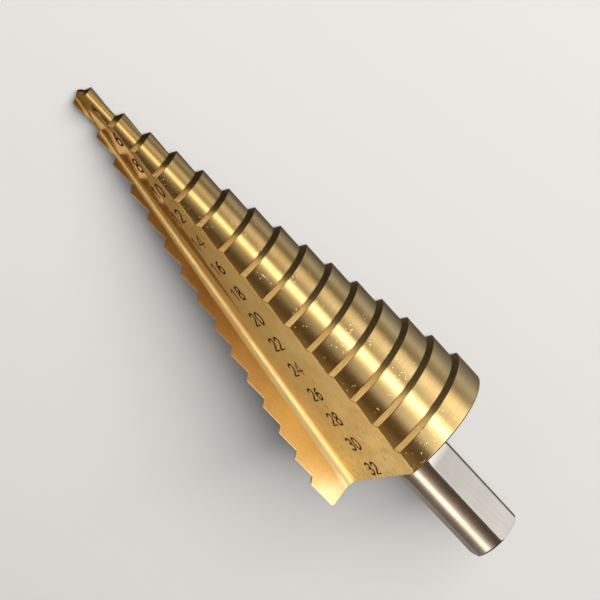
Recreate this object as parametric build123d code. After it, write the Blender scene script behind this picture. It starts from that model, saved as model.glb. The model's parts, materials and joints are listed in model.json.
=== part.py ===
from build123d import *
from math import acos, atan2, cos, degrees, radians, sin, tan
import os

# Two-flute step drill, 4 to 32 mm, ground from one bar. All lengths are in millimetres, all angles in degrees.
# It is built upright: its axis is +Z, its tip is at Z = 0, and its shank is at the top.
# Angles round the axis count from the middle of a flute, anticlockwise as seen from the shank.
# At the end it is laid down on the two edges of a flute, as it comes to rest on a bench.

# ---------------------------------------------------------------------------------------------
# Driving dimensions
# ---------------------------------------------------------------------------------------------

# Steps
FIRST_DIAMETER = 4.0          # the pilot
DIAMETER_STEP = 2.0           # each step is this much larger than the one before it
STEP_COUNT = 15
STEP_PITCH = 5.0              # from the foot of one chamfer to the foot of the next, at the cutting edge
PILOT_LENGTH = 6.8            # from the tip to the foot of the first chamfer
LAST_STEP_LENGTH = 6.2        # from the foot of the last chamfer to the back face
CHAMFER_LENGTH = 0.75         # along the axis, at the cutting edge
POINT_ANGLE = 118.0           # whole angle of the tip
BACK_EDGE_BREAK = 0.3         # chamfer round the back of the largest step

# Relief, which makes the front of each land fall away behind its cutting edge
CHAMFER_RELIEF_ANGLE = 3.8    # lean of each chamfer's cone
LAND_OFFSET_RATIO = 0.008     # each land's own centre is off the axis by this share of its radius

# Flutes: each is a straight groove with a wide back face and a narrow rake face
FLUTE_BACK_AZIMUTH = 15.0     # direction that the back face looks in
FLUTE_RAKE_AZIMUTH = 96.0     # direction from the axis to the rake face, square to that face
BACK_DEPTH_TIP = 0.4          # from the axis to the back face at the tip: half of the web
BACK_DEPTH_END = 8.2          # the same at the back face of the steps
RAKE_DEPTH_TIP = 1.3          # from the axis to the rake face at the tip
RAKE_DEPTH_END = 9.9          # the same at the back face of the steps
ROOT_RADIUS_TIP = 0.3         # fillet where the two faces of a flute meet, at the tip
ROOT_RADIUS_END = 1.5         # the same at the back face of the steps

# Shank
SHANK_DIAMETER = 10.0
SHANK_LENGTH = 22.0           # from the back face of the steps to the end
SHANK_END_BREAK = 0.4
FLAT_COUNT = 3                # for the three jaws of a chuck
FLAT_DEPTH = 0.75
FLAT_AZIMUTH = 30.0           # of the first flat
FLAT_START = 0.8              # from the back face of the steps to the first touch of the wheel
WHEEL_RADIUS = 12.0           # of the wheel that ground the flats, which leaves their rounded start

# Room that the cutting tools need past the metal
OVERCUT = 2.0
FLUTE_OVERRUN = 16.0

# How often a corner's height and azimuth are worked out in turn
CORNER_PASSES = 4

# ---------------------------------------------------------------------------------------------
# Derived dimensions
# ---------------------------------------------------------------------------------------------

RADIUS_STEP = DIAMETER_STEP / 2
LAST_STEP = STEP_COUNT - 1    # steps are counted from 0, at the pilot
LAST_RADIUS = FIRST_DIAMETER / 2 + LAST_STEP * RADIUS_STEP
BODY_LENGTH = PILOT_LENGTH + (STEP_COUNT - 2) * STEP_PITCH + LAST_STEP_LENGTH
TOTAL_LENGTH = BODY_LENGTH + SHANK_LENGTH
SHANK_RADIUS = SHANK_DIAMETER / 2
CHAMFER_HALF_ANGLE = degrees(atan2(RADIUS_STEP, CHAMFER_LENGTH))

RELIEF_SLOPE = tan(radians(CHAMFER_RELIEF_ANGLE))
HALF_TURN = 180.0             # from one land, or one flute, to the other
QUARTER_TURN = 90.0           # from the direction that a flute's face looks in to the face itself


def edge_azimuth(face_azimuth, depth, radius):
    """Azimuth where a flute's face, at a depth from the axis, runs out through a cylinder."""
    return face_azimuth - degrees(acos(depth / radius))


# The cutting edge of the largest step, where its rake face meets its land
CUTTING_AZIMUTH = edge_azimuth(FLUTE_RAKE_AZIMUTH, RAKE_DEPTH_END, LAST_RADIUS)


def step_radius(index):
    """Radius of a step, counted from 0 at the pilot."""
    return FIRST_DIAMETER / 2 + index * RADIUS_STEP


def step_foot(index):
    """Height of the foot of a step's chamfer, at the cutting edge. The pilot's foot is the tip."""
    if index == 0:
        return 0.0
    return PILOT_LENGTH + (index - 1) * STEP_PITCH


def at_depth(tip_value, end_value, height):
    """A flute's size at a height, between its values at the tip and at the back face of the steps."""
    return tip_value + (end_value - tip_value) * height / BODY_LENGTH


def toward(azimuth):
    """Unit vector square to the drill's axis."""
    return Vector(cos(radians(azimuth)), sin(radians(azimuth)), 0)


def revolved(points):
    """Solid of revolution about Z from (radius, height) points."""
    outline = Polyline(*[(radius, 0, height) for radius, height in points], close=True)
    return revolve(make_face(outline), Axis.Z)


def step_front(radius, foot_radius, foot_height, half_angle):
    """Space behind one step's leaning front cone, wide enough to hold the step's cylinder."""
    wide = radius + OVERCUT
    rise = 1 / tan(radians(half_angle))
    # The cone leans about the axis, and is pushed back by what the cutting edge would gain
    edge_gain = foot_radius * RELIEF_SLOPE * cos(radians(CUTTING_AZIMUTH))
    cone = revolved(
        [
            (0, -foot_radius * rise),
            (wide, (wide - foot_radius) * rise),
            (wide, BODY_LENGTH - foot_height + wide),
            (0, BODY_LENGTH - foot_height + wide),
        ]
    )
    return Pos(0, 0, foot_height + edge_gain) * Rot(0, CHAMFER_RELIEF_ANGLE, 0) * cone


def step_cylinder(radius, edge_break):
    """One step's land, on its own centre, so that it falls away behind the cutting edge."""
    offset = radius * LAND_OFFSET_RATIO
    own_radius = radius - offset * cos(radians(CUTTING_AZIMUTH))
    land = revolved(
        [
            (0, -OVERCUT),
            (own_radius, -OVERCUT),
            (own_radius, BODY_LENGTH - edge_break),
            (own_radius - edge_break, BODY_LENGTH),
            (0, BODY_LENGTH),
        ]
    )
    return Pos(offset, 0, 0) * land


def make_land_half():
    """The half of the stepped body that holds one land, from mid flute to mid flute."""
    tip_half_angle = POINT_ANGLE / 2
    half = step_cylinder(step_radius(0), BACK_EDGE_BREAK) & step_front(step_radius(0), 0, 0, tip_half_angle)
    for index in range(1, STEP_COUNT):
        radius = step_radius(index)
        front = step_front(radius, step_radius(index - 1), step_foot(index), CHAMFER_HALF_ANGLE)
        half += step_cylinder(radius, BACK_EDGE_BREAK) & front
    reach = LAST_RADIUS + OVERCUT
    keep = Pos(0, reach / 2, BODY_LENGTH / 2) * Box(2 * reach, reach, BODY_LENGTH + 2 * OVERCUT)
    return half & keep


def flute_section(height):
    """Cross-section of the space that one flute's grinding wheel sweeps, at a height."""
    back_depth = at_depth(BACK_DEPTH_TIP, BACK_DEPTH_END, height)
    rake_depth = at_depth(RAKE_DEPTH_TIP, RAKE_DEPTH_END, height)
    root_radius = at_depth(ROOT_RADIUS_TIP, ROOT_RADIUS_END, height)
    spread = radians(FLUTE_RAKE_AZIMUTH - FLUTE_BACK_AZIMUTH)
    # The root is where both faces meet: it lies at each face's depth along that face's own normal
    along_rake = (back_depth - rake_depth * cos(spread)) / sin(spread)
    back_line = toward(FLUTE_BACK_AZIMUTH - QUARTER_TURN)
    rake_line = toward(FLUTE_RAKE_AZIMUTH - QUARTER_TURN)
    root = toward(FLUTE_RAKE_AZIMUTH) * rake_depth + rake_line * along_rake
    # Each face runs on well past the land, even from a root on the far side of the axis
    reach = 2 * LAST_RADIUS + FLUTE_OVERRUN
    back_end = root + back_line * reach
    rake_end = root + rake_line * reach
    far = back_end + rake_end - root
    lift = Vector(0, 0, height)
    outline = Polyline(root + lift, back_end + lift, far + lift, rake_end + lift, close=True)
    section = make_face(outline)
    root_corner = section.vertices().sort_by_distance(root + lift)[0]
    return fillet(root_corner, root_radius)


def make_flute():
    """One flute, whose faces lean outwards towards the shank, so that the web thickens."""
    return loft([flute_section(-OVERCUT), flute_section(BODY_LENGTH + OVERCUT)], ruled=True)


def make_shank():
    """Round shank with its end chamfered and three flats ground along it."""
    shank = revolved(
        [
            (0, BODY_LENGTH - OVERCUT),
            (SHANK_RADIUS, BODY_LENGTH - OVERCUT),
            (SHANK_RADIUS, TOTAL_LENGTH - SHANK_END_BREAK),
            (SHANK_RADIUS - SHANK_END_BREAK, TOTAL_LENGTH),
            (0, TOTAL_LENGTH),
        ]
    )
    flat_height = SHANK_RADIUS - FLAT_DEPTH
    # The wheel touches the shank at FLAT_START, and reaches its full depth above its own centre
    wheel_run = (WHEEL_RADIUS**2 - (WHEEL_RADIUS - FLAT_DEPTH) ** 2) ** 0.5
    full_depth_start = BODY_LENGTH + FLAT_START + wheel_run
    flat_length = TOTAL_LENGTH - full_depth_start + OVERCUT
    width = 2 * SHANK_RADIUS
    wheel_disc = Rot(QUARTER_TURN, 0, 0) * Cylinder(WHEEL_RADIUS, width)
    wheel = Pos(flat_height + WHEEL_RADIUS, 0, full_depth_start) * wheel_disc
    sweep = Pos(flat_height + WHEEL_RADIUS, 0, full_depth_start + flat_length / 2) * Box(
        2 * WHEEL_RADIUS, width, flat_length
    )
    cutter = wheel + sweep
    for index in range(FLAT_COUNT):
        shank -= Rot(0, 0, FLAT_AZIMUTH + index * 360 / FLAT_COUNT) * cutter
    return shank


def make_drill():
    """The whole drill, upright on its tip."""
    land_half = make_land_half()
    body = land_half + Rot(0, 0, HALF_TURN) * land_half
    flute = make_flute()
    body -= flute
    body -= Rot(0, 0, HALF_TURN) * flute
    return body + make_shank()


def front_corner(index, half_turns, face_azimuth, depth_tip, depth_end):
    """Point where a step reaches its full radius on one edge of a flute, on the land of the first
    half (no half turns) or of the second (one)."""
    radius = step_radius(index)
    lean = RELIEF_SLOPE * step_radius(max(index - 1, 0)) * cos(radians(CUTTING_AZIMUTH))
    front = step_foot(index) + (CHAMFER_LENGTH if index else radius / tan(radians(POINT_ANGLE / 2)))
    azimuth = CUTTING_AZIMUTH
    # The flute's depth goes by the height, and the height by the azimuth, so they close in on each other
    for _ in range(CORNER_PASSES):
        on_land = radians(azimuth + half_turns * HALF_TURN)
        height = front + lean - RELIEF_SLOPE * radius * cos(on_land)
        azimuth = edge_azimuth(face_azimuth, at_depth(depth_tip, depth_end, height), radius)
    return toward(azimuth) * radius + Vector(0, 0, height)


def lay_down(drill):
    """Lay the drill on a flute, with its tip towards -X. It touches the bench with both corners of
    its largest step and with the pilot's cutting corner. The flute is the one opposite azimuth 0."""
    cutting_corner = front_corner(LAST_STEP, 0, FLUTE_RAKE_AZIMUTH, RAKE_DEPTH_TIP, RAKE_DEPTH_END)
    heel_corner = front_corner(LAST_STEP, 1, FLUTE_BACK_AZIMUTH, BACK_DEPTH_TIP, BACK_DEPTH_END)
    pilot_corner = front_corner(0, 0, FLUTE_RAKE_AZIMUTH, RAKE_DEPTH_TIP, RAKE_DEPTH_END)
    touching = [Rot(0, 0, HALF_TURN) * Pos(corner) for corner in (cutting_corner, heel_corner, pilot_corner)]
    cutting, heel, pilot = [place.position for place in touching]
    up = (heel - pilot).cross(cutting - pilot).normalized()
    axis = Vector(0, 0, 1)
    bench = Plane(origin=pilot, x_dir=axis - up * axis.dot(up), z_dir=up)
    lying = bench.location.inverse() * drill
    box = lying.bounding_box()
    return Pos(-box.center().X, -box.center().Y, -box.min.Z) * lying


step_drill = lay_down(make_drill())
step_drill.label = "step_drill"

os.makedirs("parts", exist_ok=True)
export_step(step_drill, "parts/step_drill.step")
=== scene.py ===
"""Looks of a step drill: nitride-coated steps, laser-marked sizes and a bare ground shank."""

import json
import logging
import math
from collections.abc import Sequence
from dataclasses import dataclass
from enum import Enum
from typing import Any

import bpy
import numpy as np
from mathutils import Matrix, Vector

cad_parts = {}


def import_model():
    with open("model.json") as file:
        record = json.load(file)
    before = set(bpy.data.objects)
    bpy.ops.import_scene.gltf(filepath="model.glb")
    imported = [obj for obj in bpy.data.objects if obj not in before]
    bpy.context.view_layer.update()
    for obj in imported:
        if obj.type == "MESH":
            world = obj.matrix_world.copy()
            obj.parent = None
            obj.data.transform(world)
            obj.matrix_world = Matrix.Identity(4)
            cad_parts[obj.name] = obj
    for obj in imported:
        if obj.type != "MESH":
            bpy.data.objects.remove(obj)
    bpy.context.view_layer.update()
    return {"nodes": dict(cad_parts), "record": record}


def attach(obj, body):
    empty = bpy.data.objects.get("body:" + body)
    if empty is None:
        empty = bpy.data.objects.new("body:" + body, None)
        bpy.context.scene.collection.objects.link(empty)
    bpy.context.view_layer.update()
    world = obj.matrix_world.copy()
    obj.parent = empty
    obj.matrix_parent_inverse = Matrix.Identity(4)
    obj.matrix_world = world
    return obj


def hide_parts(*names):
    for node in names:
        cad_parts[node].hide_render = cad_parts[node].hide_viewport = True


Socket = bpy.types.NodeSocket
Point = tuple[float, float]
Stroke = tuple[bool, list[Point]]
Strip = tuple[float, float, str]

LOG = logging.getLogger("step_drill")
MM = 0.001
NODE = "step_drill"
GRIND_MAP = "grind"
HEIGHT_MAP = "height"
WHITE = "#ffffff"
FULL_TURN = 360.0
HALF_TURN = 180.0
QUARTER_TURN = 90.0
TINY = 1e-6


# ---------------------------------------------------------------------------------------------
# Sizes and place of the drill
# ---------------------------------------------------------------------------------------------


@dataclass(frozen=True)
class DrillSizes:
    """Sizes of the drill in millimetres and degrees, upright on its tip as it is drawn.

    Azimuths count round the axis from the middle of a flute, anticlockwise as seen from the shank.
    """

    first_radius: float = 2.0
    radius_step: float = 1.0
    step_count: int = 15
    body_length: float = 78.0
    shank_length: float = 22.0
    shank_radius: float = 5.0
    flat_azimuth: float = 30.0
    flat_turn: float = 120.0
    back_azimuth: float = 15.0
    rake_azimuth: float = 96.0
    back_depth_tip: float = 0.4
    back_depth_end: float = 8.2

    @property
    def back_rise(self) -> float:
        """How much farther from the axis a flute's wide back face is at its end than at its tip."""
        return self.back_depth_end - self.back_depth_tip

    @property
    def back_slope(self) -> float:
        """How fast a flute's wide back face leaves the axis, in millimetres a millimetre."""
        return self.back_rise / self.body_length

    def back_depth(self, height: float) -> float:
        """How far a flute's wide back face is from the axis, at a height."""
        return self.back_depth_tip + self.back_rise * height / self.body_length


@dataclass(frozen=True)
class DrillPlace:
    """Where the drill lies: its tip and its own three directions in the frame, in metres."""

    tip: Vector
    across: Vector
    beside: Vector
    axis: Vector

    @classmethod
    def from_record(cls, record: dict[str, Any], sizes: DrillSizes) -> "DrillPlace":
        """Find the place from the record's mounts.

        Args:
            record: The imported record, whose mounts name the shank and the first jaw flat.
            sizes: Sizes of the drill.

        Returns:
            The place of the drill.
        """
        mounts = {mount["name"]: mount for mount in record["mounts"]}
        axis = Vector(mounts["shank"]["axis"]).normalized()
        flat = Vector(mounts["jaw_flat_1"]["axis"])
        flat = (flat - axis * flat.dot(axis)).normalized()
        turned = axis.cross(flat)
        angle = math.radians(sizes.flat_azimuth)
        across = flat * math.cos(angle) - turned * math.sin(angle)
        middle = sizes.body_length + sizes.shank_length / 2
        tip = Vector(mounts["shank"]["pos_m"]) - axis * middle * MM
        return cls(tip=tip, across=across, beside=axis.cross(across), axis=axis)

    @property
    def matrix(self) -> Matrix:
        """Turns the drill's own millimetres into the frame's metres."""
        columns = [(side * MM)[:] + (0.0,) for side in (self.across, self.beside, self.axis)]
        return Matrix([*columns, self.tip[:] + (1.0,)]).transposed()

    def toward(self, azimuth: float) -> Vector:
        """Unit vector of the frame that looks away from the axis at an azimuth in degrees."""
        angle = math.radians(azimuth)
        return self.across * math.cos(angle) + self.beside * math.sin(angle)


# ---------------------------------------------------------------------------------------------
# Materials
# ---------------------------------------------------------------------------------------------


def linear(hex_code: str) -> tuple[float, float, float, float]:
    """Turn an sRGB hex colour into Blender's linear colour.

    Args:
        hex_code: Colour as "#rrggbb".

    Returns:
        Linear red, green, blue and an alpha of 1.
    """
    parts = [int(hex_code[i : i + 2], 16) / 255 for i in (1, 3, 5)]
    red, green, blue = [c / 12.92 if c <= 0.04045 else ((c + 0.055) / 1.055) ** 2.4 for c in parts]
    return (red, green, blue, 1.0)


class Graph:
    """The node graph of a material or a world, with one method that adds a node."""

    def __init__(self, tree: bpy.types.NodeTree) -> None:
        """Empty the tree and keep it."""
        self.tree = tree
        tree.nodes.clear()

    def add(
        self, kind: str, settings: dict[str, Any] | None = None, **inputs: Any
    ) -> bpy.types.Node:
        """Add a node with its settings and links.

        Args:
            kind: Blender's name of the node type.
            settings: Attributes of the node to set.
            inputs: Values or output sockets, by input name with underscores for spaces, or by
                "i" and the input's number.

        Returns:
            The new node.
        """
        node = self.tree.nodes.new(kind)
        for name, value in (settings or {}).items():
            setattr(node, name, value)
        for name, value in inputs.items():
            numbered = name[0] == "i" and name[1:].isdigit()
            socket = node.inputs[int(name[1:])] if numbered else node.inputs[name.replace("_", " ")]
            if isinstance(value, Socket):
                self.tree.links.new(value, socket)
            else:
                socket.default_value = value
        return node

    def number(self, operation: str, *values: Socket | float) -> Socket:
        """Work out a number from others."""
        inputs = {f"i{index}": value for index, value in enumerate(values)}
        return self.add("ShaderNodeMath", {"operation": operation}, **inputs).outputs[0]

    def remap(
        self, value: Socket, start: float, end: float, low: float = 0.0, high: float = 1.0
    ) -> Socket:
        """Map a range of a value onto another range, and hold it there beyond the ends."""
        return self.add(
            "ShaderNodeMapRange", Value=value, From_Min=start, From_Max=end, To_Min=low, To_Max=high
        ).outputs[0]

    def mixed(self, factor: Socket | float, first: Any, second: Any, blend: str = "MIX") -> Socket:
        """Mix two colours."""
        settings = {"data_type": "RGBA", "blend_type": blend}
        return self.add("ShaderNodeMix", settings, i0=factor, i6=first, i7=second).outputs[2]

    def choice(self, factor: Socket, first: Socket, second: Socket) -> Socket:
        """Show the first shader where the factor is 0, and the second where it is 1."""
        return self.add("ShaderNodeMixShader", i0=factor, i1=first, i2=second).outputs[0]

    def ramp(self, factor: Socket, stops: Sequence[tuple[float, Any]]) -> Socket:
        """Map a factor through colour stops.

        Args:
            factor: What the ramp reads, from 0 to 1.
            stops: Place and colour of each stop: a hex code, a grey or a linear colour.

        Returns:
            The colour.
        """
        node = self.add("ShaderNodeValToRGB", Fac=factor)
        elements = node.color_ramp.elements
        while len(elements) < len(stops):
            elements.new(0.5)
        for element, (place, colour) in zip(elements, stops):
            element.position = place
            if isinstance(colour, str):
                colour = linear(colour)
            element.color = (colour, colour, colour, 1.0) if isinstance(colour, float) else colour
        return node.outputs["Color"]


def new_material(name: str) -> tuple[bpy.types.Material, Graph]:
    """Make a material with an empty graph.

    Args:
        name: Name of the real material and its process.

    Returns:
        The material and its graph.
    """
    material = bpy.data.materials.new(name)
    material.use_nodes = True
    return material, Graph(material.node_tree)


class Lay(Enum):
    """Which way the grinding lines run on a surface."""

    ROUND = "round the axis"
    ALONG = "along the axis"


@dataclass(frozen=True)
class GroundMetal:
    """Metal ground with a fine wheel, whose lines follow the map named grind.

    Lengths are in millimetres. Real grinding lines are a few hundredths of a millimetre wide,
    and real droplets of the coating finer still. Both are drawn coarser, so that they show.
    """

    name: str
    colour: str
    dark_colour: str
    roughness: float
    anisotropy: float
    line_width: float
    line_length: float
    line_depth: float
    line_detail: float = 4.0
    line_breaks: float = 0.6
    """How strong the finest detail of the lines is."""
    highlight_turn: float = 0.25
    """Share of a full turn that lays the highlight across the lines."""
    cloud_size: float = 6.0
    cloud_detail: float = 3.0
    mottle: Point = (0.36, 0.6)
    """Shares of the noise up to which the metal is dark, and from which it has its full colour."""
    roughness_swing: float = 0.15
    """Share by which the roughness swings either way."""
    swing_span: Point = (0.7, 1.3)
    """Sums of the two noises between which it swings."""
    edge_radius: float = 0.18
    """Radius of the edges, which are rounded in shading only."""
    edge_samples: int = 6
    speck_size: float = 0.0
    speck_height: float = 0.0
    speck_dome: Point = (0.38, 0.1)
    """Shares of its size at which a droplet ends, and within which it is full."""
    speck_limit: float = 0.47
    """What a droplet's own number times the patches' noise has to pass for it to be there."""
    nick_width: float = 0.0
    nick_length: float = 1.6
    nick_colour: str = "#5c401a"
    nick_depth: float = 2.0
    """Depth of a score, in depths of a grinding line."""
    nick_span: Point = (34.0, 78.0)
    """Heights over the tip between which the scores grow in number."""
    nick_gain: float = 0.115
    """How much is added to the noise where they are most."""
    nick_limits: Point = (0.68, 0.78)
    """Levels of the noise at the edge of a score, and where it is full."""
    tip_tint: str = WHITE
    # Painted shade: what the colour is multiplied by at the tip, so that the tip looks darker.
    """What the colour is multiplied by at the tip, where the coating is burnished and browner."""
    tint_start: float = 0.0
    # Height over the tip up to which the painted shade is full.
    """Height over the tip up to which the tint is full."""
    tint_end: float = 70.0
    # Height over the tip from which there is no painted shade.
    """Height over the tip from which there is no tint."""
    tip_roughness: float = 0.0
    # What is added to the roughness where the painted shade is full.
    """What is added to the roughness where the tint is full."""

    def build(self) -> bpy.types.Material:
        """Make the material.

        Returns:
            The material, whose colour, roughness and bump come from its nodes.
        """
        material, graph = new_material(self.name)
        place = graph.add("ShaderNodeUVMap", {"uv_map": GRIND_MAP}).outputs["UV"]
        scratch = self.streaks(graph, place, self.line_length, self.line_width)
        cloud = graph.add(
            "ShaderNodeTexNoise",
            Vector=self.scaled(graph, place, self.cloud_size),
            Scale=1.0,
            Detail=self.cloud_detail,
        ).outputs["Fac"]
        shade = graph.number("ADD", scratch, cloud)
        near_tip = self.near_tip(graph)
        colour = self.tinted(graph, shade, near_tip)
        rounded = graph.add(
            "ShaderNodeBevel", {"samples": self.edge_samples}, Radius=self.edge_radius * MM
        ).outputs[0]
        normal = self.raised(graph, scratch, self.line_depth, rounded)
        if self.speck_size:
            specks = self.specks(graph, place, cloud)
            normal = self.raised(graph, specks, self.speck_height, normal)
        if self.nick_width:
            nicks = self.nicks(graph, place)
            colour = graph.mixed(nicks, colour, linear(self.nick_colour))
            normal = self.raised(graph, nicks, -self.nick_depth * self.line_depth, normal)
        shader = graph.add(
            "ShaderNodeBsdfPrincipled",
            Base_Color=colour,
            Metallic=1.0,
            Roughness=self.spread(graph, shade, near_tip),
            Anisotropic=self.anisotropy,
            Anisotropic_Rotation=self.highlight_turn,
            Normal=normal,
            Tangent=graph.add(
                "ShaderNodeTangent", {"direction_type": "UV_MAP", "uv_map": GRIND_MAP}
            ).outputs[0],
        )
        graph.add("ShaderNodeOutputMaterial", Surface=shader.outputs[0])
        return material

    def near_tip(self, graph: Graph) -> Socket:
        """How near the tip a point lies, from the map named height.

        Args:
            graph: The material's graph.

        Returns:
            A share, from 0 where there is no painted shade to 1 where it is full.
        """
        place = graph.add("ShaderNodeUVMap", {"uv_map": HEIGHT_MAP}).outputs["UV"]
        height = graph.add("ShaderNodeSeparateXYZ", Vector=place).outputs[0]
        return graph.remap(height, self.tint_end, self.tint_start)

    def tinted(self, graph: Graph, shade: Socket, near_tip: Socket) -> Socket:
        """Colour the metal, darker in the lines and clouds, with painted shade toward the tip.

        Args:
            graph: The material's graph.
            shade: Sum of the noises of lines and clouds.
            near_tip: How near the tip a point lies.

        Returns:
            The colour.
        """
        dark_end, full_start = self.mottle
        mean = graph.number("MULTIPLY", shade, 0.5)
        colour = graph.ramp(mean, [(dark_end, self.dark_colour), (full_start, self.colour)])
        # Painted shade: the colour is multiplied darker and browner toward the tip
        tint = graph.ramp(near_tip, [(0.0, WHITE), (1.0, self.tip_tint)])
        return graph.add(
            "ShaderNodeVectorMath", {"operation": "MULTIPLY"}, i0=colour, i1=tint
        ).outputs[0]

    def spread(self, graph: Graph, shade: Socket, near_tip: Socket) -> Socket:
        """Swing the roughness with the lines and clouds, and raise it toward the tip.

        Args:
            graph: The material's graph.
            shade: Sum of the noises of lines and clouds.
            near_tip: How near the tip a point lies.

        Returns:
            The roughness.
        """
        low = self.roughness * (1 - self.roughness_swing)
        high = self.roughness * (1 + self.roughness_swing)
        swung = graph.remap(shade, *self.swing_span, high, low)
        return graph.number("MULTIPLY_ADD", near_tip, self.tip_roughness, swung)

    def scaled(self, graph: Graph, place: Socket, size: float) -> Socket:
        """Scale the map so that one unit is a size in millimetres."""
        return graph.add(
            "ShaderNodeVectorMath", {"operation": "SCALE"}, i0=place, Scale=1 / size
        ).outputs[0]

    def streaks(self, graph: Graph, place: Socket, length: float, width: float) -> Socket:
        """Noise that is drawn out along the grinding lines.

        Args:
            graph: The material's graph.
            place: The map of grinding lines.
            length: Length of a streak, in millimetres.
            width: Width of a streak, in millimetres.

        Returns:
            The noise, from 0 to 1.
        """
        drawn = graph.add(
            "ShaderNodeVectorMath",
            {"operation": "MULTIPLY"},
            i0=place,
            i1=(1 / length, 1 / width, 0.0),
        ).outputs[0]
        return graph.add(
            "ShaderNodeTexNoise",
            Vector=drawn,
            Scale=1.0,
            Detail=self.line_detail,
            Roughness=self.line_breaks,
        ).outputs["Fac"]

    def specks(self, graph: Graph, place: Socket, cloud: Socket) -> Socket:
        """Small round droplets of the coating, thick in some patches and missing in others.

        Args:
            graph: The material's graph.
            place: The map of grinding lines.
            cloud: Noise that says where the patches are.

        Returns:
            Height of the droplets, from 0 to 1.
        """
        cells = graph.add(
            "ShaderNodeTexVoronoi", Vector=self.scaled(graph, place, self.speck_size), Scale=1.0
        )
        dome = graph.remap(cells.outputs["Distance"], *self.speck_dome)
        drawn = graph.add("ShaderNodeSeparateColor", Color=cells.outputs["Color"]).outputs[0]
        patch = graph.number("MULTIPLY", drawn, cloud)
        chosen = graph.number("GREATER_THAN", patch, self.speck_limit)
        return graph.number("MULTIPLY", dome, chosen)

    def nicks(self, graph: Graph, place: Socket) -> Socket:
        """Short dark scores along the lines, more of them toward the shank.

        Args:
            graph: The material's graph.
            place: The map of grinding lines, whose first value grows toward the shank.

        Returns:
            1 in a score and 0 beside it.
        """
        noise = self.streaks(graph, place, self.nick_length, self.nick_width)
        along = graph.add("ShaderNodeSeparateXYZ", Vector=place).outputs[0]
        more = graph.remap(along, *self.nick_span, 0.0, self.nick_gain)
        return graph.remap(graph.number("ADD", noise, more), *self.nick_limits)

    def raised(self, graph: Graph, height: Socket, depth: float, normal: Socket) -> Socket:
        """Bend the normal by a height map, with its depth in millimetres."""
        return graph.add(
            "ShaderNodeBump",
            {"invert": depth < 0},
            Strength=1.0,
            Distance=abs(depth) * MM,
            Height=height,
            Normal=normal,
        ).outputs[0]


# Titanium nitride over fine cylindrical grinding: semi-gloss pale gold that sparkles with droplets
COATED_LAND = GroundMetal(
    name="nitride_on_ground_land",
    colour="#e6c382",
    dark_colour="#dab370",
    roughness=0.16,
    anisotropy=0.4,
    line_width=0.3,
    line_length=6.0,
    line_depth=0.0003,
    speck_size=0.34,
    speck_height=0.022,
    # Painted shade: darker and greyer toward the small steps, where the lands look dimmer
    tip_tint="#cdc4b4",
    tip_roughness=0.14,
)
# The chamfers are form ground with a coarser wheel: the same gold, a little more matt
COATED_CHAMFER = GroundMetal(
    name="nitride_on_form_ground_chamfer",
    colour="#e6be79",
    dark_colour="#cfa45e",
    roughness=0.24,
    anisotropy=0.2,
    line_width=0.3,
    line_length=3.0,
    line_depth=0.0015,
    speck_size=0.4,
    speck_height=0.015,
    # Painted shade: a little darker toward the small steps
    tip_tint="#e4dfd6",
)
# The wide back of a flute is ground along the drill: matt, with long scratches and dark scores
COATED_BACK = GroundMetal(
    name="nitride_on_flute_back",
    colour="#ffe5a0",
    dark_colour="#f0ce8a",
    roughness=0.56,
    anisotropy=0.3,
    line_width=0.16,
    line_length=3.5,
    line_depth=0.003,
    edge_radius=0.35,
    nick_width=0.2,
    # Painted shade: much darker and browner toward the tip, paler toward the base
    tip_tint="#a28e68",
    tint_end=74.0,
    tip_roughness=0.24,
)
# The rake face is dressed last, with short strokes: semi-matt and a little mottled
COATED_RAKE = GroundMetal(
    name="nitride_on_rake_face",
    colour="#fde2a8",
    dark_colour="#efcb8c",
    roughness=0.4,
    anisotropy=0.2,
    line_width=0.25,
    line_length=1.2,
    line_depth=0.0025,
    speck_size=0.6,
    speck_height=0.012,
    # Painted shade: darker and browner up to the middle of the body, paler toward the base
    tip_tint="#bca68a",
    tint_start=40.0,
    tint_end=64.0,
    tip_roughness=0.08,
)
# The root is where the wheel's corner runs: it holds one long soft highlight
COATED_ROOT = GroundMetal(
    name="nitride_on_flute_root",
    colour="#ffebb0",
    dark_colour="#fbdf9e",
    roughness=0.55,
    anisotropy=0.2,
    line_width=0.3,
    line_length=8.0,
    line_depth=0.001,
    edge_radius=0.45,
    # Painted shade: darker and browner toward the tip, so that the root looks brightest at the base
    tip_tint="#c4b49a",
    tint_end=74.0,
)
# The back of the steps is turned: a darker gold with fine rings
COATED_REAR = GroundMetal(
    name="nitride_on_turned_back",
    colour="#dfb873",
    dark_colour="#c99f5a",
    roughness=0.36,
    anisotropy=0.4,
    line_width=0.3,
    line_length=6.0,
    line_depth=0.003,
)
# Bare high-speed steel, centreless ground: warm silver grey with sharp bright bands
BARE_ROUND = GroundMetal(
    name="ground_high_speed_steel",
    colour="#b9aca0",
    dark_colour="#a2968a",
    roughness=0.2,
    anisotropy=0.5,
    line_width=0.2,
    line_length=3.0,
    line_depth=0.001,
)
# The flats are surface ground along the shank: an even, softer grey
BARE_FLAT = GroundMetal(
    name="surface_ground_flat",
    colour="#b0a99e",
    dark_colour="#a69e92",
    roughness=0.32,
    anisotropy=0.3,
    line_width=0.2,
    line_length=8.0,
    line_depth=0.0015,
)


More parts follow.
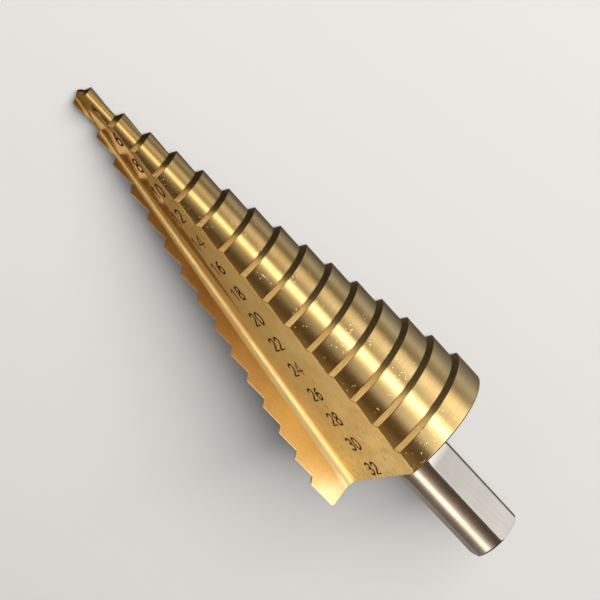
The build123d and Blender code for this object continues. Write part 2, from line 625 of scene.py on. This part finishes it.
class Region(Enum):
    """The drill's kinds of surface.

    Each has its finish, the way of its grinding lines and, where they run along the axis, the
    azimuth in degrees that points across them.
    """

    LAND = (COATED_LAND, Lay.ROUND, 0.0)
    CHAMFER = (COATED_CHAMFER, Lay.ROUND, 0.0)
    BACK = (COATED_BACK, Lay.ALONG, 105.0)
    RAKE = (COATED_RAKE, Lay.ALONG, 6.0)
    ROOT = (COATED_ROOT, Lay.ALONG, 55.5)
    REAR = (COATED_REAR, Lay.ROUND, 0.0)
    SHANK = (BARE_ROUND, Lay.ROUND, 0.0)
    FLAT = (BARE_FLAT, Lay.ALONG, 120.0)

    @property
    def finish(self) -> GroundMetal:
        """The finish of this kind of surface."""
        return self.value[0]

    @property
    def lay(self) -> Lay:
        """The way the grinding lines run."""
        return self.value[1]

    @property
    def across(self) -> float:
        """Azimuth that points across lines along the axis, in degrees."""
        return self.value[2]


@dataclass(frozen=True)
class BurntOxide:
    """Steel burnt through its coating by a marking laser: a matt brown-black skin.

    Lengths are in millimetres. The grain is drawn coarser than a real laser's spots.
    """

    name: str
    colour: str
    pale_colour: str
    roughness: float = 0.75
    specular: float = 0.15
    grain: float = 0.3
    grain_detail: float = 2.0
    grain_depth: float = 0.004
    mottle: Point = (0.35, 0.75)
    """Shares of the noise up to which the skin is dark, and from which it is pale."""

    def build(self) -> bpy.types.Material:
        """Make the material.

        Returns:
            The material, mottled at the size of the grain.
        """
        material, graph = new_material(self.name)
        noise = graph.add(
            "ShaderNodeTexNoise",
            Vector=graph.add("ShaderNodeTexCoord").outputs["Object"],
            Scale=1 / (self.grain * MM),
            Detail=self.grain_detail,
        ).outputs["Fac"]
        dark_end, pale_start = self.mottle
        shader = graph.add(
            "ShaderNodeBsdfPrincipled",
            Base_Color=graph.ramp(noise, [(dark_end, self.colour), (pale_start, self.pale_colour)]),
            Roughness=self.roughness,
            Specular_IOR_Level=self.specular,
            Normal=graph.add(
                "ShaderNodeBump", Strength=1.0, Distance=self.grain_depth * MM, Height=noise
            ).outputs[0],
        )
        graph.add("ShaderNodeOutputMaterial", Surface=shader.outputs[0])
        return material


# Laser marking on nitride: the beam burns a brown-black line that looks dull beside the gold
BURNT_LINE = BurntOxide("laser_burnt_line", "#2a0e05", "#4c2410")


# ---------------------------------------------------------------------------------------------
# The drill
# ---------------------------------------------------------------------------------------------


def degrees_off(azimuth: float, target: float, period: float) -> float:
    """How far an azimuth is from the nearest of many targets, a period apart, in degrees."""
    return abs((azimuth - target + period / 2) % period - period / 2)


@dataclass
class GroundBar:
    """The drill's body and shank, dressed surface by surface on the CAD's own faces.

    A face's lean is the share of its direction that runs along the axis.
    """

    sizes: DrillSizes
    place: DrillPlace
    node: bpy.types.Object
    facing: float = 0.985
    """How nearly a face has to look away from the axis to be a land."""
    land_lean: float = 0.2
    """How far a land's face leans along the axis, at most."""
    chamfer_lean: float = 0.4
    """How far a chamfer's face leans toward the tip, at least."""
    rear_lean: float = 0.5
    """How far the back of the steps leans toward the shank, at least."""
    flat_lean: float = 0.8
    """How far a jaw flat's face leans along the axis, at most."""
    flat_sink: float = 0.02
    """How far the middle of a jaw flat's face lies inside the round shank, at least."""
    flat_slack: float = 0.5
    """How far a jaw flat's face may be turned from its azimuth, in degrees."""
    flute_slack: float = 1.0
    """The same for a flute's two flat faces."""
    shank_gap: float = 0.01
    """How far behind the body the shank's faces start, in millimetres."""
    least_radius: float = 1.0
    """Radius within which lines round the axis are no longer drawn closer, in millimetres."""

    def sort_face(self, centre: np.ndarray, normal: np.ndarray) -> Region:
        """Tell which kind of surface a face belongs to.

        Args:
            centre: Middle of the face, in the drill's own millimetres.
            normal: Direction the face looks in, in the drill's own axes.

        Returns:
            The kind of surface.
        """
        sizes = self.sizes
        radius = math.hypot(centre[0], centre[1])
        azimuth = math.degrees(math.atan2(normal[1], normal[0]))
        if centre[2] > sizes.body_length + self.shank_gap:
            flat = (
                degrees_off(azimuth, sizes.flat_azimuth, sizes.flat_turn) < self.flat_slack
                and radius < sizes.shank_radius - self.flat_sink
                and abs(normal[2]) < self.flat_lean
            )
            return Region.FLAT if flat else Region.SHANK
        if normal[2] > self.rear_lean:
            return Region.REAR
        outward = (centre[0] * normal[0] + centre[1] * normal[1]) / max(radius, TINY)
        if outward > self.facing and abs(normal[2]) < self.land_lean:
            return Region.LAND
        if normal[2] < -self.chamfer_lean:
            return Region.CHAMFER
        if degrees_off(azimuth, sizes.back_azimuth, HALF_TURN) < self.flute_slack:
            return Region.BACK
        if degrees_off(azimuth, sizes.rake_azimuth, HALF_TURN) < self.flute_slack:
            return Region.RAKE
        return Region.ROOT if outward < self.facing else Region.LAND

    def lines(self, region: Region, point: np.ndarray, centre: np.ndarray) -> Point:
        """Place a corner on the map of grinding lines.

        Args:
            region: Kind of surface that the corner is on.
            point: The corner, in the drill's own millimetres.
            centre: Middle of its face.

        Returns:
            Millimetres along the grinding lines, and across them.
        """
        if region.lay is Lay.ALONG:
            across = math.radians(region.across)
            return point[2], point[0] * math.cos(across) + point[1] * math.sin(across)
        middle = math.atan2(centre[1], centre[0])
        turn = math.atan2(point[1], point[0]) - middle
        azimuth = middle + (turn + math.pi) % (2 * math.pi) - math.pi
        mean_radius = max(math.hypot(centre[0], centre[1]), self.least_radius)
        return azimuth * mean_radius, point[2] + math.hypot(point[0], point[1])

    def build(self) -> bpy.types.Object:
        """Make the dressed piece that stands for the CAD node.

        Returns:
            The piece, with a finish on each kind of surface.
        """
        mesh = self.node.data
        inverse = np.array(self.place.matrix.inverted())
        world = np.array([v.co[:] for v in mesh.vertices])
        own = world @ inverse[:3, :3].T + inverse[:3, 3]
        turn = np.array([self.place.across[:], self.place.beside[:], self.place.axis[:]])
        corner_normals = np.array([n.vector[:] for n in mesh.corner_normals])
        dressed = bpy.data.meshes.new("ground_bar")
        faces = [tuple(polygon.vertices) for polygon in mesh.polygons]
        dressed.from_pydata(world.tolist(), [], faces)
        regions = list(Region)
        for region in regions:
            dressed.materials.append(region.finish.build())
        grind = dressed.uv_layers.new(name=GRIND_MAP)
        height = dressed.uv_layers.new(name=HEIGHT_MAP)
        counts = dict.fromkeys(regions, 0)
        for polygon in dressed.polygons:
            centre = own[list(polygon.vertices)].mean(axis=0)
            region = self.sort_face(centre, turn @ np.array(polygon.normal))
            polygon.material_index = regions.index(region)
            polygon.use_smooth = True
            counts[region] += 1
            for loop, vertex in zip(polygon.loop_indices, polygon.vertices):
                grind.data[loop].uv = self.lines(region, own[vertex], centre)
                height.data[loop].uv = (own[vertex][2], 0.0)
        dressed.normals_split_custom_set(corner_normals.tolist())
        dressed.update()
        piece = bpy.data.objects.new("ground_bar", dressed)
        bpy.context.scene.collection.objects.link(piece)
        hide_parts(NODE)
        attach(piece, "root")
        LOG.info("ground_bar: %s", {region.name: count for region, count in counts.items()})
        return piece


# Strokes of the digits in a box one wide and one high: whether each curves, and its points
DIGITS: dict[str, list[Stroke]] = {
    "0": [
        (
            True,
            [
                (0.5, 1.0),
                (0.12, 0.78),
                (0.05, 0.42),
                (0.4, 0.0),
                (0.85, 0.2),
                (0.95, 0.62),
                (0.5, 1.0),
            ],
        )
    ],
    "1": [(False, [(0.2, 0.74), (0.6, 1.0), (0.6, 0.0)])],
    "2": [
        (
            True,
            [
                (0.08, 0.76),
                (0.3, 0.98),
                (0.72, 0.97),
                (0.9, 0.72),
                (0.66, 0.42),
                (0.28, 0.18),
                (0.05, 0.0),
            ],
        ),
        (False, [(0.05, 0.0), (0.98, 0.02)]),
    ],
    "3": [
        (True, [(0.1, 0.88), (0.45, 1.0), (0.84, 0.84), (0.78, 0.62), (0.42, 0.54)]),
        (True, [(0.42, 0.54), (0.82, 0.46), (0.94, 0.22), (0.6, 0.0), (0.06, 0.1)]),
    ],
    "4": [
        (False, [(0.78, 0.0), (0.78, 1.0)]),
        (False, [(0.78, 1.0), (-0.1, 0.3)]),
        (False, [(-0.1, 0.3), (1.12, 0.3)]),
    ],
    "6": [
        (
            True,
            [
                (0.82, 0.96),
                (0.36, 0.8),
                (0.08, 0.34),
                (0.36, 0.0),
                (0.84, 0.12),
                (0.86, 0.46),
                (0.5, 0.58),
                (0.12, 0.36),
            ],
        )
    ],
    "8": [
        (True, [(0.5, 0.54), (0.15, 0.74), (0.32, 0.98), (0.72, 0.97), (0.85, 0.74), (0.5, 0.54)]),
        (True, [(0.5, 0.54), (0.06, 0.3), (0.28, 0.01), (0.76, 0.01), (0.95, 0.3), (0.5, 0.54)]),
    ],
}


@dataclass
class SizeMarks:
    """The step sizes burnt into the wide back face of each flute, one piece for each number.

    Lengths are in millimetres. The lines stand a hair proud of the face, so that they show.
    """

    sizes: DrillSizes
    place: DrillPlace
    digit_height: float = 2.35
    digit_width: float = 1.5
    digit_advance: float = 1.95
    line_width: float = 0.4
    end_share: float = 0.6
    """Width of a line's ends, as a share of its full width. They reach that share of half its
    width beyond the stroke."""
    curve_steps: int = 5
    lift: float = 0.012
    first_height: float = 4.6
    """Height of the first number's middle over the tip, before its own shift."""
    pitch: float = 5.1
    middle: float = 1.6
    """How far a number's middle is from the foot of the axis on the face, toward the heel."""
    pilot_scale: float = 0.45
    """Size of the pilot's number, whose face is narrow, as a share of the others'."""
    pilot_shift: float = 0.9
    """How much nearer the tip the pilot's number is."""

    def smooth(self, points: list[Point]) -> list[Point]:
        """Draw a Catmull-Rom curve through points, so that it passes each of them.

        Args:
            points: The points to pass.

        Returns:
            More points along the curve.
        """
        closed = points[0] == points[-1]
        count = len(points) - 1
        drawn = []
        for index in range(count):
            before = points[(index - 1) % count] if closed else points[max(index - 1, 0)]
            start, end = points[index], points[index + 1]
            after = points[(index + 2) % count] if closed else points[min(index + 2, count)]
            for step in range(self.curve_steps):
                t = step / self.curve_steps
                drawn.append(
                    tuple(
                        0.5
                        * (
                            2 * q
                            + (r - p) * t
                            + (2 * p - 5 * q + 4 * r - s) * t**2
                            + (3 * q - p - 3 * r + s) * t**3
                        )
                        for p, q, r, s in zip(before, start, end, after)
                    )
                )
        return drawn + [points[-1]]

    def ribbon(self, points: list[Vector]) -> tuple[list[Vector], list[tuple[int, ...]]]:
        """Give a stroke its width, with narrower ends.

        Args:
            points: Middle line of the stroke, in millimetres on the face.

        Returns:
            Points of the ribbon and its faces.
        """
        half = self.line_width / 2
        tip = half * self.end_share
        outline: list[Vector] = []
        faces: list[tuple[int, ...]] = []
        last = len(points) - 1
        for index, point in enumerate(points):
            ahead = points[min(index + 1, last)] - points[max(index - 1, 0)]
            side = Vector((-ahead.y, ahead.x)).normalized()
            push = -tip if index == 0 else tip if index == last else 0.0
            middle = point + ahead.normalized() * push
            width = tip if index in (0, last) else half
            outline += [middle + side * width, middle - side * width]
            if index:
                base = 2 * index
                faces.append((base - 2, base - 1, base + 1, base))
        return outline, faces

    def strokes(self, text: str, scale: float) -> list[list[Vector]]:
        """Lay out a number's strokes on the face, round its own middle.

        Args:
            text: The number.
            scale: Its size, where 1 is a full-sized number.

        Returns:
            The middle line of each stroke, in millimetres.
        """
        start = -(len(text) - 1) * self.digit_advance / 2 - self.digit_width / 2
        laid = []
        for number, digit in enumerate(text):
            left = start + number * self.digit_advance
            for curved, stroke in DIGITS[digit]:
                laid.append(
                    [
                        Vector(
                            (
                                (left + x * self.digit_width) * scale,
                                (y - 0.5) * self.digit_height * scale,
                            )
                        )
                        for x, y in (self.smooth(stroke) if curved else stroke)
                    ]
                )
        return laid

    def build_number(
        self, index: int, half_turns: int, finish: bpy.types.Material
    ) -> bpy.types.Object:
        """Make one number.

        Args:
            index: Which step it stands for, counted from 0 at the pilot.
            half_turns: 0 for one flute and 1 for the other.
            finish: Material of the mark.

        Returns:
            The piece.
        """
        sizes, place = self.sizes, self.place
        text = str(round(2 * (sizes.first_radius + index * sizes.radius_step)))
        scale = self.pilot_scale if index == 0 else 1.0
        height = self.first_height + index * self.pitch - (self.pilot_shift if index == 0 else 0.0)
        azimuth = sizes.back_azimuth + HALF_TURN * half_turns
        outward = (place.toward(azimuth) - place.axis * sizes.back_slope).normalized()
        reading = -place.toward(azimuth + QUARTER_TURN)
        upward = outward.cross(reading)
        upward = -upward if upward.dot(place.axis) > 0 else upward
        foot = place.tip + place.toward(azimuth) * sizes.back_depth(height) * MM
        foot = foot + place.axis * height * MM + reading * self.middle * MM
        mesh = bpy.data.meshes.new(f"size_mark_{text}_{half_turns + 1}")
        corners: list[tuple[float, float, float]] = []
        faces: list[tuple[int, ...]] = []
        for stroke in self.strokes(text, scale):
            outline, ribbon_faces = self.ribbon(stroke)
            base = len(corners)
            for point in outline:
                spot = foot + (reading * point.x + upward * point.y + outward * self.lift) * MM
                corners.append(spot[:])
            faces += [tuple(base + corner for corner in face) for face in ribbon_faces]
        mesh.from_pydata(corners, [], faces)
        for polygon in mesh.polygons:
            if polygon.normal.dot(outward) < 0:
                polygon.flip()
        mesh.materials.append(finish)
        piece = bpy.data.objects.new(mesh.name, mesh)
        bpy.context.scene.collection.objects.link(piece)
        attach(piece, "root")
        return piece

    def build(self) -> list[bpy.types.Object]:
        """Make the numbers of both flutes.

        Returns:
            The pieces.
        """
        finish = BURNT_LINE.build()
        return [
            self.build_number(index, half_turns, finish)
            for half_turns in (0, 1)
            for index in range(self.sizes.step_count)
        ]


# ---------------------------------------------------------------------------------------------
# The stage
# ---------------------------------------------------------------------------------------------


@dataclass(frozen=True)
class Camera:
    """The camera, in the frame's metres and with its lens in millimetres."""

    place: tuple[float, float, float] = (-0.10484, 0.26226, 0.21975)
    right: tuple[float, float, float] = (0.72563, 0.58575, -0.36106)
    forward: tuple[float, float, float] = (0.29349, -0.73808, -0.60754)
    lens: float = 132.0
    sensor: float = 36.0
    clip_start: float = 0.01

    def build(self) -> bpy.types.Object:
        """Make the camera and let the scene use it.

        Returns:
            The camera.
        """
        data = bpy.data.cameras.new("camera")
        data.lens = self.lens
        data.sensor_width = self.sensor
        data.sensor_fit = "HORIZONTAL"
        data.clip_start = self.clip_start
        camera = bpy.data.objects.new("camera", data)
        right = Vector(self.right).normalized()
        back = -Vector(self.forward).normalized()
        right = (right - back * right.dot(back)).normalized()
        up = back.cross(right)
        turned = Matrix((right, up, back)).transposed().to_4x4()
        camera.matrix_world = Matrix.Translation(self.place) @ turned
        bpy.context.scene.collection.objects.link(camera)
        bpy.context.scene.camera = camera
        return camera


@dataclass
class Studio:
    """The pale floor, the soft lamp and the room of strip lights that the metal mirrors.

    Strips are given by the angle round the drill, how bright the room is there, and its tint.
    A direction's lean is the cosine of its angle to the axis: -1 looks past the tip and 1 past
    the shank's end.
    """

    place: DrillPlace
    floor_size: float = 3.0
    floor_colour: str = "#dfdcd8"
    floor_roughness: float = 0.9
    floor_specular: float = 0.1
    wall_colour: str = "#dedbd6"
    room_strength: float = 0.08
    lamp_target: tuple[float, float, float] = (0.0, 0.0, 0.01)
    lamp_side: tuple[float, float, float] = (-0.15, 0.88, 0.45)
    lamp_distance: float = 2.2
    lamp_size: float = 1.2
    lamp_power: float = 114.0
    strip_zero: float = -51.67
    """Azimuth of the drill that the strips' angles count from, in degrees."""
    strip_top: float = 5.0
    """Brightness that the strips' colours are shares of, a little over the brightest strip's."""
    strips: tuple[Strip, ...] = (
        (-180.0, 0.2, "#fff4e8"),
        (-152.0, 0.12, "#fff6ea"),
        (-132.0, 0.32, "#e6f0ff"),
        (-112.0, 0.8, "#e2ecff"),
        (-92.0, 0.14, "#ffffff"),
        (-80.0, 0.95, "#f6f8ff"),
        (-72.0, 1.15, "#f6f8ff"),
        (-54.0, 0.06, "#ffffff"),
        (-48.0, 1.0, "#ffffff"),
        (-41.0, 4.8, "#ffffff"),
        (-34.0, 1.0, "#ffffff"),
        (-26.0, 0.14, "#fff2e0"),
        (-10.0, 0.05, "#ffc488"),
        (2.0, 0.1, "#ffd4a4"),
        (20.0, 0.34, "#ffe8cc"),
        (35.0, 0.5, "#fff4ea"),
        (50.0, 4.8, "#fff2e0"),
        (65.0, 0.4, "#fff0e4"),
        (84.0, 0.16, "#ffeee0"),
        (102.0, 0.14, "#ffecd8"),
        (118.0, 0.5, "#ffecd2"),
        (132.0, 1.5, "#ffecd2"),
        (146.0, 0.6, "#ffecd2"),
        (161.0, 0.2, "#fff8f0"),
        (180.0, 0.2, "#fff4e8"),
    )
    """Strips and dark cards that run along the drill."""
    far_strips: tuple[Strip, ...] = (
        (-180.0, 0.3, "#ffffff"),
        (-120.0, 0.3, "#ffffff"),
        (-98.0, 0.8, "#ffffff"),
        (-80.0, 3.2, "#f4f8ff"),
        (-60.0, 3.2, "#f4f8ff"),
        (-40.0, 4.0, "#f4f8ff"),
        (-19.0, 4.2, "#e4ecff"),
        (-9.0, 0.5, "#fff0e0"),
        (0.0, 0.15, "#fff0e0"),
        (22.0, 0.45, "#fff0e0"),
        (50.0, 3.5, "#fff8f0"),
        (75.0, 0.6, "#fff8f0"),
        (120.0, 0.4, "#ffffff"),
        (180.0, 0.3, "#ffffff"),
    )
    """The same beyond the shank's end, where a lamp looks into the flutes."""
    far_span: Point = (0.25, 0.42)
    """Leans between which the first strips give way to the far ones."""
    dimming: tuple[Point, ...] = (
        (0.0, 0.16),
        (0.2, 0.22),
        (0.33, 0.5),
        (0.45, 1.0),
        (0.84, 1.0),
        (0.95, 0.2),
        (1.0, 0.2),
    )
    """How bright the strips stay, by lean, with 0 past the tip and 1 past the shank's end."""
    tip_cap_span: Point = (-0.945, -0.97)
    """Leans between which the strips give way to the plain cap past the tip."""
    tip_cap_level: float = 0.21
    """Brightness of the cap, as a share of the top brightness."""

    def build_floor(self) -> bpy.types.Object:
        """Make the floor that the drill lies on.

        Returns:
            The floor, which the metal mirrors look through to the room.
        """
        half = self.floor_size / 2
        mesh = bpy.data.meshes.new("floor")
        corners = [(-half, -half, 0.0), (half, -half, 0.0), (half, half, 0.0), (-half, half, 0.0)]
        mesh.from_pydata(corners, [], [(0, 1, 2, 3)])
        floor = bpy.data.objects.new("floor", mesh)
        bpy.context.scene.collection.objects.link(floor)
        # Painted board: an even pale grey that takes a soft shadow and has no shine
        material, graph = new_material("matt_board")
        board = graph.add(
            "ShaderNodeBsdfPrincipled",
            Base_Color=linear(self.floor_colour),
            Roughness=self.floor_roughness,
            Specular_IOR_Level=self.floor_specular,
        ).outputs[0]
        clear = graph.add("ShaderNodeBsdfTransparent").outputs[0]
        mirrored = graph.add("ShaderNodeLightPath").outputs["Is Glossy Ray"]
        graph.add("ShaderNodeOutputMaterial", Surface=graph.choice(mirrored, board, clear))
        mesh.materials.append(material)
        return floor

    def build_lamp(self) -> bpy.types.Object:
        """Make the square lamp, which lights the floor and leaves the metal to the strips.

        Returns:
            The lamp.
        """
        target = Vector(self.lamp_target)
        place = target + Vector(self.lamp_side).normalized() * self.lamp_distance
        data = bpy.data.lights.new("key", "AREA")
        data.shape = "SQUARE"
        data.size = self.lamp_size
        data.energy = self.lamp_power
        lamp = bpy.data.objects.new("key", data)
        lamp.location = place
        lamp.rotation_euler = (target - place).to_track_quat("-Z", "Y").to_euler()
        lamp.visible_glossy = False
        bpy.context.scene.collection.objects.link(lamp)
        return lamp

    def ring(self, graph: Graph, turn: Socket, strips: tuple[Strip, ...]) -> Socket:
        """Paint strips round the drill.

        Args:
            graph: The world's graph.
            turn: Angle round the drill, from 0 to 1.
            strips: Each strip's angle, brightness and tint.

        Returns:
            The colour of the room, as a share of the top brightness.
        """
        stops = []
        for angle, value, tint in strips:
            red, green, blue, _ = linear(tint)
            level = value / self.strip_top
            colour = (red * level, green * level, blue * level, 1.0)
            stops.append(((angle + HALF_TURN) / FULL_TURN, colour))
        return graph.ramp(turn, stops)

    def mirrored_room(self, graph: Graph) -> Socket:
        """Paint what mirrors see: strips that run along the drill and fade toward its ends.

        Args:
            graph: The world's graph.

        Returns:
            The colour of the room, as a share of the top brightness.
        """
        look = graph.add("ShaderNodeTexCoord").outputs["Generated"]
        ahead, beside, along = [
            graph.add(
                "ShaderNodeVectorMath", {"operation": "DOT_PRODUCT"}, i0=look, i1=direction[:]
            ).outputs["Value"]
            for direction in (
                self.place.toward(self.strip_zero),
                self.place.toward(self.strip_zero + QUARTER_TURN),
                self.place.axis,
            )
        ]
        turn = graph.remap(graph.number("ARCTAN2", beside, ahead), -math.pi, math.pi)
        near, far = [self.ring(graph, turn, strips) for strips in (self.strips, self.far_strips)]
        ring = graph.mixed(graph.remap(along, *self.far_span), near, far)
        dim = graph.ramp(graph.remap(along, -1.0, 1.0), self.dimming)
        ring = graph.mixed(1.0, ring, dim, "MULTIPLY")
        cap = (self.tip_cap_level, self.tip_cap_level, self.tip_cap_level, 1.0)
        return graph.mixed(graph.remap(along, *self.tip_cap_span), ring, cap)

    def build_world(self) -> None:
        """Light the room evenly, and let mirrors see strips that run along the drill."""
        world = bpy.data.worlds.new("room")
        world.use_nodes = True
        bpy.context.scene.world = world
        graph = Graph(world.node_tree)
        strips, room, wall = [
            graph.add("ShaderNodeBackground", Color=colour, Strength=strength).outputs[0]
            for colour, strength in (
                (self.mirrored_room(graph), self.strip_top),
                (linear(WHITE), self.room_strength),
                (linear(self.wall_colour), 1.0),
            )
        ]
        light_path = graph.add("ShaderNodeLightPath").outputs
        # What the matt floor gets back from the metal is the plain room, so no glow lies beside
        # the drill: the diffuse depth is 0 until a ray has met something matt
        direct = graph.number("LESS_THAN", light_path["Diffuse Depth"], 0.5)
        mirrored = graph.number("MULTIPLY", light_path["Is Glossy Ray"], direct)
        lit = graph.choice(mirrored, room, strips)
        # Past the floor's edge a camera sees a wall as pale as the floor
        seen = graph.choice(light_path["Is Camera Ray"], lit, wall)
        graph.add("ShaderNodeOutputWorld", Surface=seen)

    def build(self) -> None:
        """Make the floor, the room and the lamp."""
        self.build_floor()
        self.build_world()
        self.build_lamp()


def main() -> None:
    """Build the drill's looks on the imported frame."""
    logging.basicConfig(level=logging.INFO)
    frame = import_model()
    bpy.context.scene.view_settings.view_transform = "Standard"
    sizes = DrillSizes()
    place = DrillPlace.from_record(frame["record"], sizes)
    bar = GroundBar(sizes, place, frame["nodes"][NODE])
    for piece in (bar.build(), *SizeMarks(sizes, place).build()):
        LOG.info("%s: %d faces", piece.name, len(piece.data.polygons))
    Camera().build()
    Studio(place).build()


if __name__ == "__main__":
    main()
